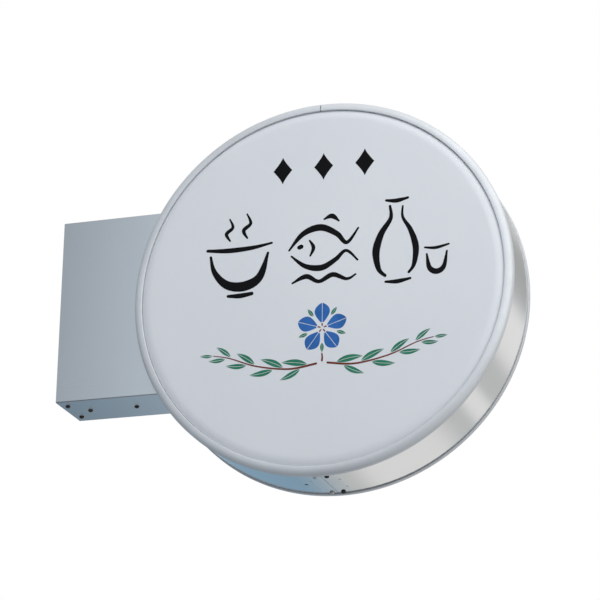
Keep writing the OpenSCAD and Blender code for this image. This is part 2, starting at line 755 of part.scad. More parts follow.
wall_pan();
wall_grommet();
box_sleeve();
sleeve_screws();
arm(1);  // arm_upper
arm(-1);  // arm_lower
arm_screws();
drum_band();
band_grommet();
butt_strap();
strap_rivets();
drum_cleats();
inner_screws(cleat_screw_xs, 0.15 + cleat_t);  // cleat_screws
post_left();
post_right();
inner_screws(post_screw_xs, 0.15 + post_t);  // post_screws
lampholders();
holder_screws();
power_tray();
tray_screws();
power_supply();
terminal_block();
earth_stud();
mains_lead();
earth_lead();
lamp_loom();
loom_clips();
gasket_shape();  // gasket_front
to_rear() gasket_shape();  // gasket_rear
hinge_fixed_shape();  // hinge_fixed_front
to_rear() hinge_fixed_shape();  // hinge_fixed_rear
hinge_pin_shape();  // hinge_pin_front
to_rear() hinge_pin_shape();  // hinge_pin_rear
hinge_rivets();
color("whitesmoke") ring_shape();  // front_ring
face_shape();  // front_face
face_seal_shape();  // front_face_seal
clips_shape();  // front_clips
hinge_moving_shape();  // hinge_moving_front
tab_shape();  // front_tab
cover_screws_shape();  // front_cover_screws
to_rear() color("whitesmoke") ring_shape();  // rear_ring
to_rear() face_shape();  // rear_face
to_rear() face_seal_shape();  // rear_face_seal
to_rear() clips_shape();  // rear_clips
to_rear() hinge_moving_shape();  // hinge_moving_rear
to_rear() tab_shape();  // rear_tab
to_rear() cover_screws_shape();  // rear_cover_screws
lamp_tube(lamp_zs[0]);  // lamp_1_tube
lamp_caps(lamp_zs[0]);  // lamp_1_caps
lamp_board(lamp_zs[0]);  // lamp_1_board
lamp_tube(lamp_zs[1]);  // lamp_2_tube
lamp_caps(lamp_zs[1]);  // lamp_2_caps
lamp_board(lamp_zs[1]);  // lamp_2_board
lamp_tube(lamp_zs[2]);  // lamp_3_tube
lamp_caps(lamp_zs[2]);  // lamp_3_caps
lamp_board(lamp_zs[2]);  // lamp_3_board
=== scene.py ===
import math

import bmesh
import bpy
from mathutils import Matrix, Vector


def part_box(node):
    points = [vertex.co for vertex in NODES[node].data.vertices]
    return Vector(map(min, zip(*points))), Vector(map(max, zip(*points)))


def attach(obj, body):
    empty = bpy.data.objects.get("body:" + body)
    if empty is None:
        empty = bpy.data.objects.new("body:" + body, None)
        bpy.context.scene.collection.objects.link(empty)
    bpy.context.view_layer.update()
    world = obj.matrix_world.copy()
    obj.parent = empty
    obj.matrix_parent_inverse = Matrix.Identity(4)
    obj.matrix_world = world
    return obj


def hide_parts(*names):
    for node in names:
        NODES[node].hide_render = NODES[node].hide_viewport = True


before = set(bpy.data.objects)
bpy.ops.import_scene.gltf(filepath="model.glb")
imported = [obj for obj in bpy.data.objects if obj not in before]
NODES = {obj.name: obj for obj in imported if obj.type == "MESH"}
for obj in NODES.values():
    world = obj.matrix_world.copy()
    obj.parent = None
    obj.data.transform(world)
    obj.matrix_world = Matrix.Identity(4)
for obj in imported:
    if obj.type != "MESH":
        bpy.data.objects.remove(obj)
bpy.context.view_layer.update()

MM = 0.001

# ---- Camera: below the sign and to its right, looking up at it ----

CAMERA_AT = Vector((1.4076, -3.2436, -1.2468))
CAMERA_TURN = (1.2036, 0.2875, -0.0956)
CAMERA_LENS = 140.6
SENSOR_WIDTH = 36


def make_camera():
    """The camera, whose axes are the rows of three turns: about X, then Y, then Z."""
    rx, ry, rz = CAMERA_TURN
    turn = Matrix.Rotation(rz, 3, "Z") @ Matrix.Rotation(ry, 3, "Y") @ Matrix.Rotation(rx, 3, "X")
    data = bpy.data.cameras.new("camera")
    data.lens = CAMERA_LENS
    data.sensor_width = SENSOR_WIDTH
    data.clip_start, data.clip_end = 0.05, 200
    camera = bpy.data.objects.new("camera", data)
    bpy.context.scene.collection.objects.link(camera)
    axes = Matrix((turn[0], -turn[1], -turn[2])).transposed()
    camera.matrix_world = Matrix.Translation(CAMERA_AT) @ axes.to_4x4()
    bpy.context.scene.camera = camera


make_camera()

# ---- Where the CAD says things are ----

ring_lo, ring_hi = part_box("front_ring")
AXIS_X = (ring_lo.x + ring_hi.x) / 2
RING_R = (ring_hi.x - ring_lo.x) / 2
FACE_Y = -ring_lo.y

# ---- Node helpers ----


def node_tree(name):
    """A new material, its node tree and its shader."""
    material = bpy.data.materials.new(name)
    material.use_nodes = True
    tree = material.node_tree
    shader = tree.nodes["Principled BSDF"]
    return material, tree, shader


def add(tree, kind, **values):
    """A new node with some of its properties set."""
    made = tree.nodes.new(kind)
    for key, value in values.items():
        setattr(made, key, value)
    return made


def link(tree, a, b):
    tree.links.new(a, b)


def coordinates(tree, scale=(1, 1, 1)):
    """Object coordinates in metres, stretched by scale."""
    coord = add(tree, "ShaderNodeTexCoord")
    mapping = add(tree, "ShaderNodeMapping")
    mapping.inputs["Scale"].default_value = scale
    link(tree, coord.outputs["Object"], mapping.inputs["Vector"])
    return mapping.outputs["Vector"]


def split_coordinates(tree):
    """Object X, Y and Z as three values."""
    coord = add(tree, "ShaderNodeTexCoord")
    split = add(tree, "ShaderNodeSeparateXYZ")
    link(tree, coord.outputs["Object"], split.inputs[0])
    return split.outputs


def drum_coordinates(tree, scale=(1, 1, 1)):
    """(length along the rolled sheet, depth) about the drum's axis, stretched by scale."""
    place = split_coordinates(tree)
    off = add(tree, "ShaderNodeMath", operation="SUBTRACT")
    link(tree, place["X"], off.inputs[0])
    off.inputs[1].default_value = AXIS_X
    angle = add(tree, "ShaderNodeMath", operation="ARCTAN2")
    link(tree, place["Z"], angle.inputs[0])
    link(tree, off.outputs[0], angle.inputs[1])
    length = add(tree, "ShaderNodeMath", operation="MULTIPLY")
    link(tree, angle.outputs[0], length.inputs[0])
    length.inputs[1].default_value = RING_R
    joined = add(tree, "ShaderNodeCombineXYZ")
    link(tree, length.outputs[0], joined.inputs["X"])
    link(tree, place["Y"], joined.inputs["Y"])
    mapping = add(tree, "ShaderNodeMapping")
    mapping.inputs["Scale"].default_value = scale
    link(tree, joined.outputs[0], mapping.inputs["Vector"])
    return mapping.outputs["Vector"]


def noise(tree, vector, scale, detail=4.0, rough=0.55):
    """Noise from 0 to 1, with scale in cells a metre."""
    made = add(tree, "ShaderNodeTexNoise")
    made.inputs["Scale"].default_value = scale
    made.inputs["Detail"].default_value = detail
    made.inputs["Roughness"].default_value = rough
    link(tree, vector, made.inputs["Vector"])
    return made.outputs["Fac"]


def ramp(tree, value, stops):
    """Colour ramp through (position, colour) stops."""
    made = add(tree, "ShaderNodeValToRGB")
    elements = made.color_ramp.elements
    while len(elements) < len(stops):
        elements.new(0.5)
    for element, (position, colour) in zip(elements, stops):
        element.position = position
        element.color = (*colour, 1)
    link(tree, value, made.inputs["Fac"])
    return made.outputs["Color"]


def spread(tree, value, lo, hi, low=0.3, high=0.7):
    """Maps a value between low and high to lo..hi, and clamps it outside them."""
    made = add(tree, "ShaderNodeMapRange")
    made.inputs["From Min"].default_value = low
    made.inputs["From Max"].default_value = high
    made.inputs["To Min"].default_value = lo
    made.inputs["To Max"].default_value = hi
    link(tree, value, made.inputs["Value"])
    return made.outputs["Result"]


def bump(tree, shader, layers):
    """Adds bump layers of (height value, strength, depth in metres)."""
    last = None
    for value, strength, depth in layers:
        made = add(tree, "ShaderNodeBump")
        made.inputs["Strength"].default_value = strength
        made.inputs["Distance"].default_value = depth
        link(tree, value, made.inputs["Height"])
        if last is not None:
            link(tree, last, made.inputs["Normal"])
        last = made.outputs["Normal"]
    link(tree, last, shader.inputs["Normal"])


def mixed(tree, fac, a, b):
    """Mix of two colour sockets or colours by fac."""
    made = add(tree, "ShaderNodeMix", data_type="RGBA")
    link(tree, fac, made.inputs[0])
    for socket, value in ((made.inputs[6], a), (made.inputs[7], b)):
        if isinstance(value, tuple):
            socket.default_value = (*value, 1)
        else:
            link(tree, value, socket)
    return made.outputs[2]


# ---- Materials ----

DUST = (0.30, 0.27, 0.23)
CHIP_YELLOW = (0.86, 0.62, 0.12)
# Distance from the board's middle plane over which its colour turns to the chips', in metres
CHIP_LOW, CHIP_HIGH = 0.00095, 0.00115


def scaled(colour, k):
    """A colour made darker or lighter by a factor."""
    return tuple(min(1.0, c * k) for c in colour)


def sheet_metal(name, colour, rough, metal, on_drum, tint=(0.93, 0.97, 1.0), line_scale=900.0, wave=0.5,
                wave_depth=0.0006, shade=None):
    """Satin rolled or brushed metal: fine lines along the sheet, soft waves, dull patches and specks.
    shade is (x0, x1, share of the colour left at x0): painted shade that darkens the colour at x0 and fades
    out by x1."""
    material, tree, shader = node_tree(name)
    lines_at = drum_coordinates if on_drum else coordinates
    stretch = (6, line_scale, 6) if on_drum else (line_scale * 0.012, line_scale, line_scale)
    lines = noise(tree, lines_at(tree, stretch), 1.0, 3.0)
    large = noise(tree, coordinates(tree), 5.0, 3.0)
    specks = noise(tree, coordinates(tree), 420.0, 2.0)
    tinted = tuple(c * t for c, t in zip(scaled(colour, 1.03), tint))
    cloudy = ramp(tree, large, [(0.3, scaled(colour, 0.93)), (0.55, colour), (0.75, tinted)])
    speckled = mixed(tree, spread(tree, specks, 0.0, 0.18, 0.62, 0.8), cloudy, scaled(colour, 0.6))
    if shade:
        # Painted shade: the colour is darkened towards x0
        x0, x1, left = shade
        shaded = spread(tree, split_coordinates(tree)["X"], 1.0, 0.0, x0, x1)
        speckled = mixed(tree, shaded, speckled, scaled(colour, left))
    link(tree, speckled, shader.inputs["Base Color"])
    shader.inputs["Metallic"].default_value = metal
    both = add(tree, "ShaderNodeMath", operation="ADD")
    link(tree, spread(tree, large, rough - 0.03, rough + 0.04), both.inputs[0])
    link(tree, spread(tree, lines, -0.03, 0.03), both.inputs[1])
    link(tree, both.outputs[0], shader.inputs["Roughness"])
    bump(tree, shader, [
        (noise(tree, coordinates(tree), 4.0, 1.0), wave, wave_depth),
        (lines, 0.05, 0.00004),
    ])
    return material


def paint(name, colour, rough, grain=1500.0, grain_depth=0.00002, metal=0.0, dirt=0.12):
    """Painted, moulded or plated surface: fine grain, slow colour change and a little dust."""
    material, tree, shader = node_tree(name)
    large = noise(tree, coordinates(tree), 9.0, 4.0)
    fine = noise(tree, coordinates(tree), grain, 3.0)
    dust = noise(tree, coordinates(tree), 60.0, 6.0, 0.7)
    base = ramp(tree, large, [(0.3, scaled(colour, 0.92)), (0.7, scaled(colour, 1.04))])
    dusty = mixed(tree, spread(tree, dust, 0.0, dirt, 0.5, 0.8), base, DUST)
    link(tree, dusty, shader.inputs["Base Color"])
    link(tree, spread(tree, dust, rough - 0.05, rough + 0.08), shader.inputs["Roughness"])
    shader.inputs["Metallic"].default_value = metal
    bump(tree, shader, [(fine, 0.25, grain_depth), (large, 0.15, 0.0003)])
    return material


def acrylic(name):
    """Milky acrylic: nearly even white, a satin surface, faint cloudiness and hairline scratches."""
    material, tree, shader = node_tree(name)
    cloud = noise(tree, coordinates(tree), 3.2, 3.0)
    fine = noise(tree, coordinates(tree), 900.0, 2.0)
    scratch = noise(tree, coordinates(tree, (260, 260, 14)), 1.0, 2.0)
    base = ramp(tree, cloud, [(0.3, (0.735, 0.750, 0.785)), (0.7, (0.765, 0.778, 0.808))])
    link(tree, base, shader.inputs["Base Color"])
    link(tree, spread(tree, scratch, 0.28, 0.42, 0.35, 0.75), shader.inputs["Roughness"])
    shader.inputs["IOR"].default_value = 1.49
    shader.inputs["Subsurface Weight"].default_value = 0.15
    shader.inputs["Subsurface Radius"].default_value = (0.004, 0.004, 0.005)
    shader.inputs["Subsurface Scale"].default_value = 1.0
    bump(tree, shader, [(cloud, 0.3, 0.0004), (fine, 0.06, 0.00001)])
    return material


def vinyl(name, colour):
    """Thin cut film: satin, with faint mottling from the squeegee."""
    material, tree, shader = node_tree(name)
    mottle = noise(tree, coordinates(tree), 55.0, 4.0)
    fine = noise(tree, coordinates(tree), 1400.0, 2.0)
    base = ramp(tree, mottle, [(0.3, scaled(colour, 0.85)), (0.7, scaled(colour, 1.15))])
    link(tree, base, shader.inputs["Base Color"])
    link(tree, spread(tree, mottle, 0.34, 0.5), shader.inputs["Roughness"])
    shader.inputs["Specular IOR Level"].default_value = 0.08
    bump(tree, shader, [(fine, 0.15, 0.00001), (mottle, 0.2, 0.00003)])
    return material


def rubber(name, colour):
    """Matt rubber with a pale bloom."""
    material, tree, shader = node_tree(name)
    fine = noise(tree, coordinates(tree), 800.0, 4.0, 0.7)
    bloom = noise(tree, coordinates(tree), 40.0, 4.0)
    link(tree, ramp(tree, bloom, [(0.35, colour), (0.75, scaled(colour, 1.9))]), shader.inputs["Base Color"])
    link(tree, spread(tree, fine, 0.6, 0.85), shader.inputs["Roughness"])
    bump(tree, shader, [(fine, 0.4, 0.00005)])
    return material


def screw_metal(name, colour, rust):
    """Screw with patches of rust where the plating has gone."""
    material, tree, shader = node_tree(name)
    patch = noise(tree, coordinates(tree), 240.0, 5.0, 0.65)
    base = ramp(tree, patch, [(0.42, colour), (0.58, scaled(colour, 1.4)), (0.72, rust)])
    link(tree, base, shader.inputs["Base Color"])
    link(tree, spread(tree, patch, 0.3, 0.62), shader.inputs["Roughness"])
    link(tree, spread(tree, patch, 1.0, 0.35, 0.5, 0.75), shader.inputs["Metallic"])
    bump(tree, shader, [(patch, 0.3, 0.00008)])
    return material


def screw_pair(name, old, rust, bright):
    """Cover screws: rusty beyond the drum's axis, and still plated on the wall's side of it."""
    material, tree, shader = node_tree(name)
    plated = spread(tree, split_coordinates(tree)["X"], 1.0, 0.0, AXIS_X - MM, AXIS_X + MM)
    patch = noise(tree, coordinates(tree), 240.0, 5.0, 0.65)
    worn = ramp(tree, patch, [(0.42, old), (0.58, scaled(old, 1.4)), (0.72, rust)])
    clean = ramp(tree, patch, [(0.4, bright), (0.75, scaled(bright, 0.8))])
    link(tree, mixed(tree, plated, worn, clean), shader.inputs["Base Color"])
    link(tree, spread(tree, patch, 0.3, 0.6), shader.inputs["Roughness"])
    link(tree, spread(tree, patch, 0.9, 0.4, 0.5, 0.75), shader.inputs["Metallic"])
    bump(tree, shader, [(patch, 0.3, 0.00008)])
    return material


def diffuser(name):
    """Frosted lamp tube."""
    material, tree, shader = node_tree(name)
    fine = noise(tree, coordinates(tree), 700.0, 3.0)
    slow = noise(tree, coordinates(tree), 8.0, 2.0)
    base = ramp(tree, slow, [(0.3, (0.80, 0.81, 0.79)), (0.7, (0.86, 0.86, 0.84))])
    link(tree, base, shader.inputs["Base Color"])
    link(tree, spread(tree, fine, 0.3, 0.45), shader.inputs["Roughness"])
    shader.inputs["Subsurface Weight"].default_value = 0.3
    shader.inputs["Subsurface Radius"].default_value = (0.003, 0.003, 0.003)
    shader.inputs["Subsurface Scale"].default_value = 1.0
    bump(tree, shader, [(fine, 0.1, 0.00001)])
    return material


def led_board(name):
    """White board with yellow chips, which stand proud of it on both sides."""
    material, tree, shader = node_tree(name)
    away = add(tree, "ShaderNodeMath", operation="ABSOLUTE")
    link(tree, split_coordinates(tree)["Y"], away.inputs[0])
    chip = spread(tree, away.outputs[0], 0.0, 1.0, CHIP_LOW, CHIP_HIGH)
    fine = noise(tree, coordinates(tree), 500.0, 3.0)
    board = ramp(tree, fine, [(0.3, (0.72, 0.73, 0.70)), (0.7, (0.80, 0.80, 0.77))])
    link(tree, mixed(tree, chip, board, CHIP_YELLOW), shader.inputs["Base Color"])
    link(tree, spread(tree, fine, 0.3, 0.5), shader.inputs["Roughness"])
    bump(tree, shader, [(fine, 0.1, 0.00002)])
    return material


def cable(name, colour):
    """Soft cable jacket: satin, with scuffs along it."""
    material, tree, shader = node_tree(name)
    scuff = noise(tree, coordinates(tree), 160.0, 5.0, 0.7)
    slow = noise(tree, coordinates(tree), 25.0, 2.0)
    base = ramp(tree, slow, [(0.3, scaled(colour, 0.9)), (0.7, scaled(colour, 1.05))])
    worn = mixed(tree, spread(tree, scuff, 0.0, 0.35, 0.6, 0.8), base, scaled(colour, 0.55))
    link(tree, worn, shader.inputs["Base Color"])
    link(tree, spread(tree, scuff, 0.36, 0.55), shader.inputs["Roughness"])
    bump(tree, shader, [(scuff, 0.15, 0.00004)])
    return material


def earth_cable(name):
    """Yellow jacket with green stripes along it."""
    material, tree, shader = node_tree(name)
    band = add(tree, "ShaderNodeTexWave")
    band.inputs["Scale"].default_value = 52.0
    band.inputs["Distortion"].default_value = 0.4
    link(tree, coordinates(tree, (0.3, 1.0, 0.25)), band.inputs["Vector"])
    band.bands_direction = "Y"
    base = ramp(tree, band.outputs["Fac"], [(0.45, (0.78, 0.66, 0.05)), (0.55, (0.05, 0.32, 0.08))])
    link(tree, base, shader.inputs["Base Color"])
    fine = noise(tree, coordinates(tree), 300.0, 3.0)
    link(tree, spread(tree, fine, 0.38, 0.5), shader.inputs["Roughness"])
    bump(tree, shader, [(fine, 0.1, 0.00003)])
    return material


# Painted shade: the box's colour darkens towards the wall, where its reflection is dimmer
BOX_SHADE = (0.0, 0.16, 0.72)
OLD_SCREW, RUST = (0.05, 0.045, 0.04), (0.20, 0.11, 0.05)
MATERIALS = {
    "band": sheet_metal("band_aluminium", (0.75, 0.755, 0.745), 0.14, 1.0, True),
    "box": sheet_metal("box_aluminium", (0.64, 0.665, 0.685), 0.30, 1.0, False, line_scale=700.0,
                       shade=BOX_SHADE),
    "ring": paint("ring_trim", (0.68, 0.70, 0.72), 0.46, 900.0, 0.000004, metal=0.25, dirt=0.05),
    "seal": rubber("rubber_pale", (0.30, 0.31, 0.32)),
    "face": acrylic("face_acrylic"),
    "zinc": sheet_metal("zinc_steel", (0.62, 0.63, 0.64), 0.36, 1.0, False, line_scale=300.0),
    "arm": paint("arm_steel", (0.33, 0.35, 0.37), 0.42, 500.0, metal=0.6),
    "screw": screw_metal("screw_dark", OLD_SCREW, RUST),
    "cover_screw": screw_pair("screw_cover", OLD_SCREW, RUST, (0.66, 0.67, 0.68)),
    "bright_screw": screw_metal("screw_bright", (0.62, 0.62, 0.60), (0.42, 0.36, 0.26)),
    "rubber": rubber("rubber_grey", (0.035, 0.037, 0.04)),
    "moulded": paint("moulded_white", (0.78, 0.78, 0.75), 0.38, 1200.0),
    "cap": paint("moulded_cap", (0.58, 0.59, 0.61), 0.30, 1200.0),
    "diffuser": diffuser("lamp_diffuser"),
    "led": led_board("led_board"),
    "brass": sheet_metal("brass_nickel", (0.72, 0.55, 0.26), 0.28, 1.0, False, line_scale=500.0),
    "wire": cable("wire_white", (0.76, 0.76, 0.74)),
    "wire_grey": cable("wire_grey", (0.30, 0.31, 0.32)),
    "wire_blue": cable("wire_blue", (0.06, 0.16, 0.42)),
    "earth": earth_cable("wire_earth"),
    "black": vinyl("vinyl_black", (0.004, 0.004, 0.005)),
    "green": vinyl("vinyl_green", (0.035, 0.20, 0.12)),
    "brown": vinyl("vinyl_brown", (0.17, 0.045, 0.03)),
    "blue": vinyl("vinyl_blue", (0.035, 0.14, 0.42)),
}

MATERIAL_NODES = {
    "zinc": [
        "wall_pan", "butt_strap", "drum_cleats", "power_tray", "front_clips", "rear_clips", "front_tab",
        "rear_tab", "loom_clips", "post_left", "post_right", "hinge_fixed_front", "hinge_fixed_rear",
        "hinge_moving_front", "hinge_moving_rear",
    ],
    "rubber": ["wall_grommet", "band_grommet", "gasket_front", "gasket_rear"],
    "seal": ["front_face_seal", "rear_face_seal"],
    "box": ["box_sleeve"],
    "screw": ["sleeve_screws", "arm_screws"],
    "cover_screw": ["front_cover_screws", "rear_cover_screws"],
    "arm": ["arm_upper", "arm_lower"],
    "band": ["drum_band"],
    "bright_screw": [
        "strap_rivets", "cleat_screws", "post_screws", "holder_screws", "tray_screws", "hinge_pin_front",
        "hinge_pin_rear", "hinge_rivets",
    ],
    "moulded": ["lampholders", "power_supply", "terminal_block"],
    "cap": ["lamp_1_caps", "lamp_2_caps", "lamp_3_caps"],
    "brass": ["earth_stud"],
    "wire": ["mains_lead", "lamp_loom"],
    "earth": ["earth_lead"],
    "ring": ["front_ring", "rear_ring"],
    "face": ["front_face", "rear_face"],
    "diffuser": ["lamp_1_tube", "lamp_2_tube", "lamp_3_tube"],
    "led": ["lamp_1_board", "lamp_2_board", "lamp_3_board"],
}
assert sorted(n for names in MATERIAL_NODES.values() for n in names) == sorted(NODES)
for key, names in MATERIAL_NODES.items():
    for name in names:
        for slot in NODES[name].material_slots:
            slot.material = MATERIALS[key]

# ---- Mesh helpers ----


def new_piece(name, bm, material, body, sharp=30.0):
    """A mesh piece made from bm, smooth but for edges sharper than the angle."""
    bmesh.ops.recalc_face_normals(bm, faces=bm.faces)
    mesh = bpy.data.meshes.new(name)
    bm.to_mesh(mesh)
    bm.free()
    mesh.polygons.foreach_set("use_smooth", [True] * len(mesh.polygons))
    mesh.set_sharp_from_angle(angle=math.radians(sharp))
    mesh.materials.append(material)
    piece = bpy.data.objects.new(name, mesh)
    bpy.context.scene.collection.objects.link(piece)
    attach(piece, body)
    return piece


def arc(cx, cy, rx, a0, a1, steps, ry=None):
    """Points of a round arc, or of an oval one where ry is given."""
    ry = rx if ry is None else ry
    out = []
    for i in range(steps + 1):
        a = math.radians(a0 + (a1 - a0) * i / steps)
        out.append((cx + rx * math.cos(a), cy + ry * math.sin(a)))
    return out


def lathe(bm, profile, side, segments, gap=0.0):
    """Turns a profile of (radius, depth behind the cover's front plane), in mm, about the drum's axis.
    side is -1 for the front cover and 1 for the rear. A gap, in mm, is left open at the top."""
    open_turn = gap / (RING_R / MM)
    count = segments + 1 if gap else segments
    rings = []
    for i in range(count):
        a = math.pi / 2 + open_turn / 2 + (2 * math.pi - open_turn) * i / segments
        ring = []
        for r, depth in profile:
            y = side * (FACE_Y - depth * MM)
            ring.append(bm.verts.new((AXIS_X + r * MM * math.cos(a), y, r * MM * math.sin(a))))
        rings.append(ring)
    n = len(profile)
    for i in range(segments):
        a, b = rings[i], rings[(i + 1) % len(rings)]
        for k in range(n):
            j = (k + 1) % n
            bm.faces.new((a[k], a[j], b[j], b[k]))
    if gap:
        bm.faces.new(rings[0])
        bm.faces.new(rings[-1][::-1])


def cut(piece, lo, hi):
    """Cuts a box, given in metres, out of a piece."""
    bm = bmesh.new()
    bmesh.ops.create_cube(bm, size=1)
    for v in bm.verts:
        v.co = Vector([(a + b) / 2 + c * (b - a) for a, b, c in zip(lo, hi, v.co)])
    mesh = bpy.data.meshes.new("cutter")
    bm.to_mesh(mesh)
    bm.free()
    cutter = bpy.data.objects.new("cutter", mesh)
    bpy.context.scene.collection.objects.link(cutter)
    boolean = piece.modifiers.new("cut", "BOOLEAN")
    boolean.object, boolean.operation, boolean.solver = cutter, "DIFFERENCE", "EXACT"
    bpy.context.view_layer.update()
    graph = bpy.context.evaluated_depsgraph_get()
    made = bpy.data.meshes.new_from_object(piece.evaluated_get(graph), depsgraph=graph)
    piece.modifiers.clear()
    piece.data = made
    bpy.data.objects.remove(cutter)


# ---- Covers: acrylic faces and trim rings, in mm ----

RING_W, RING_DEPTH, RING_ROUND, SKIN = 13.0, 13.7, 7.0, 2.0
# The rounding runs further over the ring's front than down its side
RING_SLOPE, LIP_ROUND = 11.0, 0.8
TUCK, FACE_RUN, FACE_ROUND, FACE_T = 1.6, 18.0, 8.0, 3.0
# The acrylic's middle lies back by the film's thickness, and the profile starts just off the axis
FILM = 0.12
POLE_R = 0.001
# The ring's lip ends just above the acrylic's shoulder
LIP_BACK = FACE_ROUND * (1 - math.sqrt(1 - (1 - TUCK / FACE_RUN) ** 2)) - 0.2
# Pocket in the ring for the hinge: half its length, the depths it runs between, and how far it reaches
# inwards and outwards of the ring's edge
POCKET_HALF, POCKET_FROM, POCKET_TO, POCKET_IN, POCKET_OUT = 27.0, 10.8, 20.0, 9.0, 11.0
JOINT_GAP = 1.5
FACE_SEGMENTS, RING_SEGMENTS = 256, 288


def face_profile():
    """The acrylic: a flat middle, a soft oval shoulder and a flange under the ring."""
    r = RING_R / MM
    edge = r - RING_W + TUCK
    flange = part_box("front_face")[1].x / MM - AXIS_X / MM
    centre = edge - FACE_RUN
    points = [(POLE_R, FILM), (120, FILM), (centre - 26, FILM), (centre - 12, FILM * 0.35)]
    points += arc(centre, FACE_ROUND, FACE_RUN, -90, 0, 24, FACE_ROUND)
    points += [(edge + 0.6, FACE_ROUND + 0.05), (flange - 0.3, FACE_ROUND), (flange, FACE_ROUND + 0.3)]
    points += [(flange, FACE_ROUND + FACE_T - 0.3), (flange - 0.3, FACE_ROUND + FACE_T)]
    points += arc(centre, FACE_ROUND, FACE_RUN - FACE_T, 0, -90, 12, FACE_ROUND - FACE_T)
    points += [(centre - 30, FACE_T), (120, FACE_T), (POLE_R, FACE_T)]
    return points


def ring_profile():
    """The trim ring: an L whose outer corner is an oval rounding."""
    r = RING_R / MM
    inner = r - RING_W
    points = [(r, RING_DEPTH - 0.3), (r, RING_ROUND + 1)]
    points += arc(r - RING_SLOPE, RING_ROUND, RING_SLOPE, 0, -90, 24, RING_ROUND)
    points += arc(inner + LIP_ROUND, LIP_ROUND, LIP_ROUND, -90, -180, 6)
    points += [(inner, LIP_BACK - 0.3), (inner + 0.3, LIP_BACK), (inner + SKIN, LIP_BACK)]
    points.append((inner + SKIN, SKIN))
    points += arc(r - RING_ROUND, RING_ROUND, RING_ROUND - SKIN, -90, 0, 10)
    points += [(r - SKIN, RING_DEPTH), (r - 0.3, RING_DEPTH)]
    return points


def make_cover(name, side):
    """The acrylic face and the trim ring of one cover, in place of its CAD nodes."""
    body = name + "_cover"
    bm = bmesh.new()
    lathe(bm, face_profile(), side, FACE_SEGMENTS)
    # Closes the pinhole round the axis on both sides
    poles = [v for v in bm.verts if math.hypot(v.co.x - AXIS_X, v.co.z) < 2 * POLE_R * MM]
    bmesh.ops.remove_doubles(bm, verts=poles, dist=4 * POLE_R * MM)
    bmesh.ops.delete(bm, geom=[e for e in bm.edges if not e.link_faces], context="EDGES")
    face = new_piece(name + "_acrylic", bm, MATERIALS["face"], body, sharp=40)
    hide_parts(name + "_face")
    bm = bmesh.new()
    lathe(bm, ring_profile(), side, RING_SEGMENTS, JOINT_GAP)
    ring = new_piece(name + "_trim", bm, MATERIALS["ring"], body, sharp=35)
    half = POCKET_HALF * MM
    y0, y1 = sorted((side * (FACE_Y - POCKET_FROM * MM), side * (FACE_Y - POCKET_TO * MM)))
    cut(ring, (AXIS_X - half, y0, RING_R - POCKET_IN * MM), (AXIS_X + half, y1, RING_R + POCKET_OUT * MM))
    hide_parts(name + "_ring")


make_cover("front", -1)
make_cover("rear", 1)

# ---- Graphics: generic signs in cut film on both faces, in mm ----


def smooth(points, steps):
    """Catmull-Rom curve through points of any dimension."""
    pts = [Vector(p) for p in points]
    out = []
    for i in range(len(pts) - 1):
        a, b, c, d = pts[max(i - 1, 0)], pts[i], pts[i + 1], pts[min(i + 2, len(pts) - 1)]
        for s in range(steps):
            t = s / steps
            out.append(0.5 * (2 * b + (c - a) * t + (2 * a - 5 * b + 4 * c - d) * t * t
                              + (3 * b - a - 3 * c + d) * t ** 3))
    out.append(pts[-1])
    return out


def ribbon(bm, place, centre, lefts, rights):
    """A flat film along a centre line, reaching lefts and rights of it.
    place maps (u, v, height), in mm, to the part's frame."""
    n = len(centre)
    rows = []
    for i, c in enumerate(centre):
        t = centre[min(i + 1, n - 1)] - centre[max(i - 1, 0)]
        t.normalize()
        side = Vector((-t.y, t.x))
        l, r = c + side * lefts[i], c - side * rights[i]
        rows.append([bm.verts.new(place(p.x, p.y, h)) for p in (l, r) for h in (0.0, FILM)])
    for a, b in zip(rows, rows[1:]):
        for j, k in ((1, 3), (3, 2), (2, 0), (0, 1)):
            bm.faces.new((a[j], a[k], b[k], b[j]))
    for row in (rows[0], rows[-1]):
        bm.faces.new((row[0], row[1], row[3], row[2]))


# A round tip: distance from its end and half width there, as shares of the stroke's half width
ROUND_TIP = [(0.0, 0.05), (0.06, 0.35), (0.2, 0.6), (0.42, 0.81), (0.7, 0.95)]


def brush(bm, place, points, widths, at=(0, 0), steps=10):
    """A brush stroke: a curve whose width follows widths and ends in round tips."""
    centre = smooth([(at[0] + x, at[1] + y) for x, y in points], steps)
    wide = smooth([(w, 0) for w in widths], 24)
    n = len(centre)
    length = sum((b - a).length for a, b in zip(centre, centre[1:]))
    run, halves = 0.0, []
    for i, c in enumerate(centre):
        if i:
            run += (c - centre[i - 1]).length
        s = run / length * (len(wide) - 1)
        k = min(int(s), len(wide) - 2)
        w = wide[k].x + (wide[k + 1].x - wide[k].x) * (s - k)
        halves.append(w / 2)
    start, end = [], []
    t0 = (centre[1] - centre[0]).normalized()
    t1 = (centre[-1] - centre[-2]).normalized()
    for along, share in ROUND_TIP:
        start.append((centre[0] - t0 * halves[0] * (1 - along), halves[0] * share))
        end.append((centre[-1] + t1 * halves[-1] * (1 - along), halves[-1] * share))
    line = [p for p, _ in start] + list(centre) + [p for p, _ in reversed(end)]
    half = [w for _, w in start] + halves + [w for _, w in reversed(end)]
    ribbon(bm, place, line, half, half)


def leaf(bm, place, base, angle, length, width, curl, rib=0.35):
    """A leaf in two halves with a gap between them as its midrib."""
    a = math.radians(angle)
    along, across = Vector((math.cos(a), math.sin(a))), Vector((-math.sin(a), math.cos(a)))
    steps = 22
    centre = []
    for i in range(steps + 1):
        t = i / steps
        centre.append(Vector(base) + along * length * t + across * curl * length * t * t)
    wide = [width / 2 * math.sin(math.pi * (i / steps) ** 0.85) ** 0.9 + 0.06 for i in range(steps)] + [0.06]
    gap = [min(rib, w * 0.4) for w in wide]
    ribbon(bm, place, centre, wide, [-g for g in gap])
    ribbon(bm, place, centre, [-g for g in gap], wide)


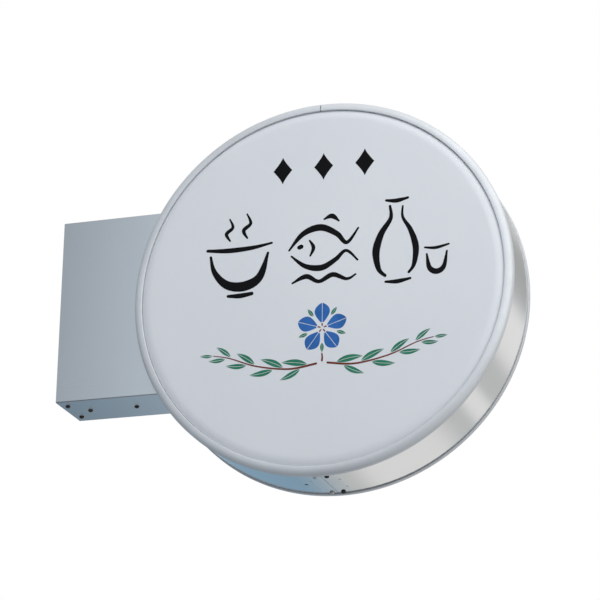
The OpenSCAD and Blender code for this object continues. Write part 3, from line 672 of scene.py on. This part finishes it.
ART_SHIFT = 6.0
BOWL_AT, FISH_AT, FLASK_AT = (-134, 50), (0, 58), (132, 52)
DIAMOND_V, DIAMOND_HEIGHT, DIAMOND_HALF = 170, 44, 15
STEM = [(9, -128), (52, -133), (104, -124), (146, -108), (172, -102)]
# Leaves along a stem: share of the way along it, side and leaf length
LEAVES = [
    (0.10, 1, 40), (0.16, -1, 34), (0.30, 1, 38), (0.37, -1, 36), (0.52, 1, 34), (0.58, -1, 32),
    (0.74, 1, 28), (0.80, -1, 26),
]
LEAF_TURN, LEAF_CURL = 27, 0.16
FLOWER_V, PETALS, PETAL_FROM, PETAL_LENGTH, PETAL_STEPS, PETAL_GAP = -72, 5, 9, 31, 20, 0.45


def draw_diamonds(bm, place):
    """Three diamonds in a row."""
    for u in (-66, 0, 66):
        line = [Vector((u, DIAMOND_V + DIAMOND_HEIGHT * i / 12)) for i in range(13)]
        wide = [0.2 + DIAMOND_HALF * (1 - abs(2 * i / 12 - 1)) ** 1.25 for i in range(13)]
        ribbon(bm, place, line, wide, wide)


def draw_bowl(bm, place, at):
    """A rice bowl on its foot, with two wisps of steam."""
    bowl = [(-47, 10), (-40, -16), (-20, -38), (8, -43), (33, -30), (46, 8)]
    brush(bm, place, bowl, [4, 9, 14, 16, 11, 4], at)
    brush(bm, place, [(-52, 21), (-20, 18), (20, 19), (52, 24)], [5, 8, 7, 3.5], at)
    brush(bm, place, [(-17, -57), (2, -58), (21, -56)], [5, 8, 6], at)
    brush(bm, place, [(-16, 34), (-22, 46), (-12, 56), (-17, 70)], [3, 6, 5, 2.5], at)
    brush(bm, place, [(12, 36), (6, 49), (17, 60), (11, 76)], [3, 6.5, 5, 2.5], at)


def draw_fish(bm, place, at):
    """A fish, with its gill, eye and fin, over a wave."""
    back = [(-54, 0), (-32, 25), (-4, 33), (22, 20), (38, 4), (56, 26)]
    belly = [(-50, -10), (-28, -28), (-2, -33), (20, -22), (37, -9), (55, -26)]
    wave = [(-48, -54), (-26, -45), (-6, -55), (16, -46), (38, -55), (52, -49)]
    brush(bm, place, back, [3, 8, 11, 9, 6, 3], at)
    brush(bm, place, belly, [3, 7, 10, 8, 5, 3], at)
    brush(bm, place, [(-21, 13), (-15, 1), (-20, -12)], [3, 6, 3], at)
    brush(bm, place, [(-37.5, 3.5), (-34.5, 4.5)], [7, 7], at)
    brush(bm, place, [(2, 46), (14, 50), (25, 41)], [3, 8, 3], at)
    brush(bm, place, wave, [3, 8, 6, 8, 6, 3], at)


def draw_flask(bm, place, at):
    """A flask, with its lip and foot, beside a small cup."""
    left = [(-26, 62), (-25, 42), (-40, 18), (-48, -10), (-44, -38), (-34, -50)]
    right = [(-6, 60), (-6, 42), (6, 20), (14, -8), (11, -36), (3, -48)]
    cup = [(31, -22), (35, -44), (46, -51), (57, -44), (62, -20)]
    brush(bm, place, left, [4, 7, 10, 12, 9, 5], at)
    brush(bm, place, right, [3, 5, 8, 10, 8, 4], at)
    brush(bm, place, [(-32, 72), (-16, 70), (2, 73)], [4, 7, 4], at)
    brush(bm, place, [(-33, -60), (-15, -61), (5, -58)], [4, 7, 4], at)
    brush(bm, place, cup, [3, 7, 9, 6, 3], at)
    brush(bm, place, [(28, -11), (45, -13), (65, -9)], [3, 5, 3], at)


def draw_branch(green, brown, place, way):
    """A stem with paired leaves and one at its tip; way is -1 for the left and 1 for the right."""
    stem = [(way * x, y) for x, y in STEM]
    brush(brown, place, stem, [3.4, 3.0, 2.4, 2.0, 1.4], steps=14)
    path = smooth(stem, 24)
    for share, up, length in LEAVES:
        i = int(share * (len(path) - 1))
        t = (path[min(i + 1, len(path) - 1)] - path[i - 1]).normalized()
        heading = math.degrees(math.atan2(t.y, t.x))
        turn = LEAF_TURN * up * way
        normal = Vector((-t.y, t.x)) * up * way
        base = path[i] + normal * 2.6 + t * 1.5
        leaf(green, place, base, heading + turn, length, length * 0.26, -LEAF_CURL * up * way)
    leaf(green, place, path[-1] + Vector((way * 2.0, 0)), 0 if way > 0 else 180, 20, 5.2, 0.08 * way)


def draw_flower(blue, green, brown, place):
    """Five petals in two halves each, with a sepal and a stamen between them."""
    centre = Vector((0, FLOWER_V))
    for i in range(PETALS):
        a = math.radians(90 + 360 / PETALS * i)
        out = Vector((math.cos(a), math.sin(a)))
        line = [centre + out * (PETAL_FROM + PETAL_LENGTH * j / PETAL_STEPS) for j in range(PETAL_STEPS + 1)]
        swell = [math.pi * (0.08 + 0.046 * j) ** 1.35 for j in range(PETAL_STEPS)]
        wide = [0.4 + 11.6 * math.sin(s) ** 0.75 for s in swell] + [0.3]
        gap = [-PETAL_GAP] * len(line)
        ribbon(blue, place, line, wide, gap)
        ribbon(blue, place, line, gap, wide)
        b = math.radians(126 + 360 / PETALS * i)
        between = Vector((math.cos(b), math.sin(b)))
        leaf(green, place, centre + between * 24, math.degrees(b), 15, 5.5, 0.0, 0.25)
        brush(brown, place, [tuple(centre + out * 3.2), tuple(centre + out * 6.4)], [1.6, 2.4])
    brush(brown, place, [(0, -113), (0.6, -119), (0, -124)], [2.2, 2.6, 3.0])


def make_graphics(name, side):
    """The film on one face: one piece for each colour."""
    def place(u, v, h):
        # u runs to the reader's right, and h stands up from the recessed face
        return (AXIS_X - side * (u + ART_SHIFT) * MM, side * (FACE_Y - (FILM - h) * MM), v * MM)

    films = {key: bmesh.new() for key in ("black", "green", "brown", "blue")}
    draw_diamonds(films["black"], place)
    draw_bowl(films["black"], place, BOWL_AT)
    draw_fish(films["black"], place, FISH_AT)
    draw_flask(films["black"], place, FLASK_AT)
    for way in (-1, 1):
        draw_branch(films["green"], films["brown"], place, way)
    draw_flower(films["blue"], films["green"], films["brown"], place)
    for key, bm in films.items():
        new_piece(f"{name}_film_{key}", bm, MATERIALS[key], name + "_cover", sharp=20)


make_graphics("front", -1)
make_graphics("rear", 1)

# ---- Wiring inside the box and drum, in mm: the CAD wires' own routes, which were chosen one by one ----

MAINS = [
    (11, 0, -70), (14, 0, -76), (24, 0, -84), (40, 0, -90), (58, 0, -96), (76, -2, -98), (84, -4, -92),
    (85, -4, -76),
]
EARTH = [(16, 4, 64), (18, 8, 70), (26, 13, 78), (36, 16, 85), (43, 17, 91), (46, 17, 98)]
LOOM = [
    (85, 8, -76), (85, 8, -86), (92, 9, -96), (106, 8, -98), (117, 5, -88), (120, 2, -64), (118, 0, -32),
    (120, 0, -8), (128, 0, 0), (142, 0, 0), (158, 3, 0), (171, 8, 10), (181, 12, 28), (182, 12, 58),
    (182, 13, 84), (182, 15, 100), (183, 15.3, 111), (187, 19, 121), (198, 21, 124), (250, 21, 124),
    (320, 21, 124), (430, 21, 124), (540, 21, 124), (640, 21, 124), (662, 21, 124), (673, 19, 121),
    (677, 15.5, 112), (679, 15, 101), (679, 13, 88), (679, 12, 58), (679, 12, 20), (679, 12, -20),
    (679, 12, -58), (679, 11, -76),
]


def frames_along(path):
    """A tangent and two crosswise directions at each point, turning as little as possible."""
    out, u = [], None
    for i in range(len(path)):
        t = (path[min(i + 1, len(path) - 1)] - path[max(i - 1, 0)]).normalized()
        if u is None:
            u = t.cross(Vector((0, 1, 0)) if abs(t.y) < 0.8 else Vector((1, 0, 0))).normalized()
        u = (u - t * u.dot(t)).normalized()
        out.append((t, u, t.cross(u)))
    return out


def tube(bm, path, radius, sides):
    """A closed round tube along a path."""
    rings = []
    turns = [2 * math.pi * k / sides for k in range(sides)]
    for p, (_, u, v) in zip(path, frames_along(path)):
        rings.append([bm.verts.new((p + (u * math.cos(a) + v * math.sin(a)) * radius) * MM) for a in turns])
    for a, b in zip(rings, rings[1:]):
        for k in range(sides):
            j = (k + 1) % sides
            bm.faces.new((a[k], a[j], b[j], b[k]))
    bm.faces.new(rings[0][::-1])
    bm.faces.new(rings[-1])


def resampled(points, step):
    """Evenly spaced points along the smooth route."""
    path = smooth(points, 16)
    out, left = [path[0]], step
    for a, b in zip(path, path[1:]):
        d = (b - a).length
        while d > 0 and left <= d:
            a = a + (b - a) * (left / d)
            out.append(a.copy())
            d = (b - a).length
            left = step
        left -= d
    out.append(path[-1])
    return out


def wound(points, offset, phase, pitch, step):
    """The path of one core wound round a route."""
    path = resampled(points, step)
    out = []
    for i, (p, (_, u, v)) in enumerate(zip(path, frames_along(path))):
        a = 2 * math.pi * (i * step / pitch + phase)
        out.append(p + (u * math.cos(a) + v * math.sin(a)) * offset)
    return out


MAINS_R, EARTH_R, CORE_R, CORE_OFFSET, CORE_PITCH = 2.2, 2.0, 1.12, 1.26, 26.0


def make_wiring():
    """The mains lead, the earth lead and the loom."""
    bm = bmesh.new()
    tube(bm, resampled(MAINS, 2.0), MAINS_R, sides=14)
    mains = new_piece("mains_cable", bm, MATERIALS["wire"], "frame", sharp=50)
    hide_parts("mains_lead")
    bm = bmesh.new()
    tube(bm, resampled(EARTH, 1.5), EARTH_R, sides=14)
    earth = new_piece("earth_cable", bm, MATERIALS["earth"], "frame", sharp=50)
    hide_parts("earth_lead")
    # Three cores twisted together inside the loom's radius
    for i, key in enumerate(("wire", "wire_grey", "wire_blue")):
        bm = bmesh.new()
        tube(bm, wound(LOOM, CORE_OFFSET, i / 3, CORE_PITCH, 3.0), CORE_R, sides=10)
        core = new_piece(f"loom_core_{i + 1}", bm, MATERIALS[key], "frame", sharp=50)
        if i == 0:
            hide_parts("lamp_loom")


make_wiring()

# ---- Floor, world and lights ----

FLOOR_Z, FLOOR_HALF = -4.2, 30
FLOOR_GLOW = 0.38


def make_floor():
    """A plain pale floor far below the sign, kept out of its reflections and its light."""
    bm = bmesh.new()
    bmesh.ops.create_grid(bm, x_segments=24, y_segments=24, size=FLOOR_HALF)
    for v in bm.verts:
        v.co = Vector((v.co.x + AXIS_X, v.co.y, FLOOR_Z))
    mesh = bpy.data.meshes.new("floor")
    bm.to_mesh(mesh)
    bm.free()
    material, tree, shader = node_tree("floor")
    slow = noise(tree, coordinates(tree), 0.6, 3.0)
    pale = ramp(tree, slow, [(0.3, (0.82, 0.82, 0.82)), (0.7, (0.86, 0.86, 0.86))])
    link(tree, pale, shader.inputs["Base Color"])
    shader.inputs["Roughness"].default_value = 0.9
    shader.inputs["Emission Color"].default_value = (1, 1, 1, 1)
    shader.inputs["Emission Strength"].default_value = FLOOR_GLOW
    mesh.materials.append(material)
    floor = bpy.data.objects.new("floor", mesh)
    bpy.context.scene.collection.objects.link(floor)
    floor.visible_glossy = False
    floor.visible_diffuse = False


make_floor()

WORLD_FRONT = (0.15, 0.17, 0.20)
WORLD_BACK = (0.60, 0.61, 0.61)
# Angles from straight behind the sign between which the back turns to the front
WORLD_TURN = (50, 130)
# Round zones of the studio: direction, half angles in degrees where a zone is full and where it ends, colour
WORLD_ZONES = [
    ((0, 0, 1), 30, 65, (0.60, 0.61, 0.62)),
    ((0, 0, -1), 25, 60, (0.24, 0.28, 0.32)),
    ((-0.30, -0.90, 0.33), 20, 45, (0.62, 0.68, 0.74)),
    ((0.80, -0.30, -0.50), 28, 55, (0.70, 0.71, 0.72)),
    ((-0.72, 0.67, -0.08), 25, 38, (0.24, 0.37, 0.49)),
    ((0.16, 0.92, 0.37), 3, 10, (0.42, 0.43, 0.43)),
    ((0.05, 0.93, -0.37), 6, 15, (0.86, 0.86, 0.86)),
    ((0.355, 0.92, 0.15), 3, 9, (0.92, 0.92, 0.92)),
    ((0.33, 0.93, -0.16), 1.2, 4, (1.0, 1.0, 1.0)),
]


def make_world():
    """A pale studio: a bright half behind the sign, a cooler one in front, and a few panels to reflect.
    The backdrop itself is plain white."""
    world = bpy.data.worlds.new("studio")
    bpy.context.scene.world = world
    world.use_nodes = True
    tree = world.node_tree
    studio = tree.nodes["Background"]
    coord = add(tree, "ShaderNodeTexCoord")

    def zone(direction, inner, outer):
        dot = add(tree, "ShaderNodeVectorMath", operation="DOT_PRODUCT")
        link(tree, coord.outputs["Generated"], dot.inputs[0])
        dot.inputs[1].default_value = Vector(direction).normalized()
        made = add(tree, "ShaderNodeMapRange", interpolation_type="SMOOTHSTEP")
        made.inputs["From Min"].default_value = math.cos(math.radians(outer))
        made.inputs["From Max"].default_value = math.cos(math.radians(inner))
        link(tree, dot.outputs["Value"], made.inputs["Value"])
        return made.outputs["Result"]

    colour = mixed(tree, zone((0, 1, 0), *WORLD_TURN), WORLD_FRONT, WORLD_BACK)
    for direction, inner, outer, value in WORLD_ZONES:
        colour = mixed(tree, zone(direction, inner, outer), colour, value)
    link(tree, colour, studio.inputs["Color"])
    backdrop = add(tree, "ShaderNodeBackground")
    backdrop.inputs["Color"].default_value = (1, 1, 1, 1)
    path = add(tree, "ShaderNodeLightPath")
    both = add(tree, "ShaderNodeMixShader")
    link(tree, path.outputs["Is Camera Ray"], both.inputs[0])
    link(tree, studio.outputs[0], both.inputs[1])
    link(tree, backdrop.outputs[0], both.inputs[2])
    link(tree, both.outputs[0], tree.nodes["World Output"].inputs["Surface"])


make_world()


def softbox(name, at, target, width, height, radiance, colour=(1, 1, 1)):
    """A soft rectangular light whose brightness is given as radiance, so that its size can change freely."""
    data = bpy.data.lights.new(name, "AREA")
    data.shape = "RECTANGLE"
    data.size, data.size_y = width, height
    data.energy = radiance * width * height * math.pi
    data.color = colour
    lamp = bpy.data.objects.new(name, data)
    bpy.context.scene.collection.objects.link(lamp)
    at, target = Vector(at), Vector(target)
    lamp.matrix_world = Matrix.Translation(at) @ (at - target).to_track_quat("Z", "Y").to_matrix().to_4x4()
    lamp.visible_camera = False


SIGN = (AXIS_X, 0, 0)
softbox("key", (1.75, -1.5, 1.3), SIGN, 3.2, 3.2, 1.65)
softbox("fill", (-2.2, -2.8, 0.6), SIGN, 1.8, 1.8, 0.25, (0.92, 0.96, 1.0))
softbox("top", (0.4, -0.2, 2.6), SIGN, 2.0, 1.6, 0.35)

bpy.context.scene.view_settings.view_transform = "Standard"
